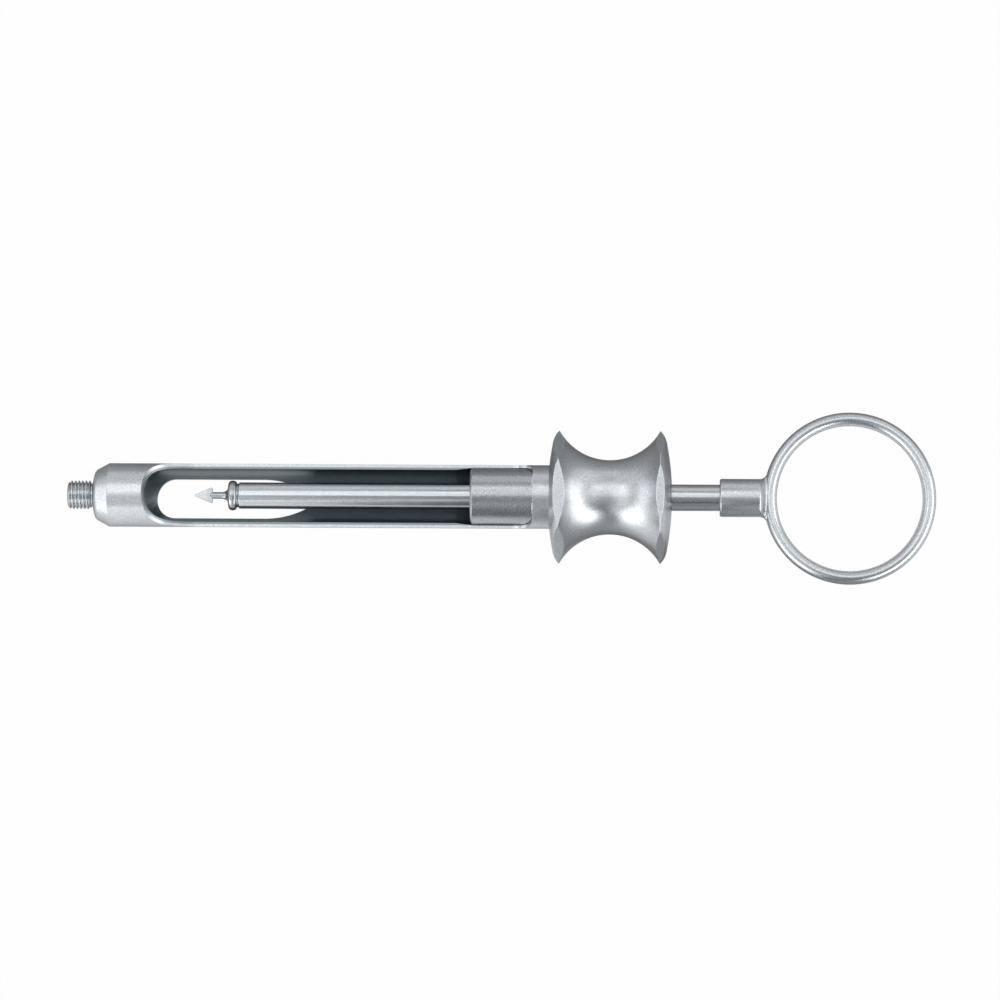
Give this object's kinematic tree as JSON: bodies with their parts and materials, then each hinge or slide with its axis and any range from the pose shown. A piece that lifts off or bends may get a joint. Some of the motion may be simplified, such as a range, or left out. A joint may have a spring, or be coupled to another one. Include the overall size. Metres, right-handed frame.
{
  "type": "aspirating dental syringe",
  "caption": "Side-loading steel cartridge syringe with a threaded needle end, spool finger grip, sprung sleeve, harpoon plunger and thumb ring.",
  "frame": {"origin": "on the barrel's axis, where the needle thread ends at its relief groove", "axes": "+X along the barrel from the needle end to the thumb ring; +Z out of the loading window; the ring lies in the XY plane"},
  "size_m": [0.15, 0.0298, 0.021],
  "materials": {
    "satin_steel": "glass-bead blasted satin",
    "ground_steel": "turned and ground, faint lathe lines",
    "spring_steel": "drawn wire"
  },
  "bodies": {
    "barrel": {"barrel_tube": "satin_steel", "barrel_head": "satin_steel", "needle_adaptor": "ground_steel", "spool_grip": "satin_steel", "guide_bush": "satin_steel", "sleeve_spring": "spring_steel"},
    "sleeve": {"inner_sleeve": "ground_steel"},
    "rod": {"plunger_rod": "ground_steel"},
    "ring": {"thumb_ring": "satin_steel", "harpoon": "ground_steel"}
  },
  "joints": [
    {"name": "sleeve_slide", "type": "slide", "parent": "barrel", "child": "sleeve", "axis": [1, 0, 0], "range_m": [0, 0.014], "stiffness_N_per_m": 250, "springref_m": -0.008, "deforming": ["sleeve_spring"]},
    {"name": "plunger_slide", "type": "slide", "parent": "sleeve", "child": "rod", "axis": [1, 0, 0], "range_m": [-0.008, 0.0403]},
    {"name": "plunger_turn", "type": "hinge", "parent": "rod", "child": "ring", "pos_m": [0.131, 0, 0], "axis": [1, 0, 0], "continuous": true}
  ]
}
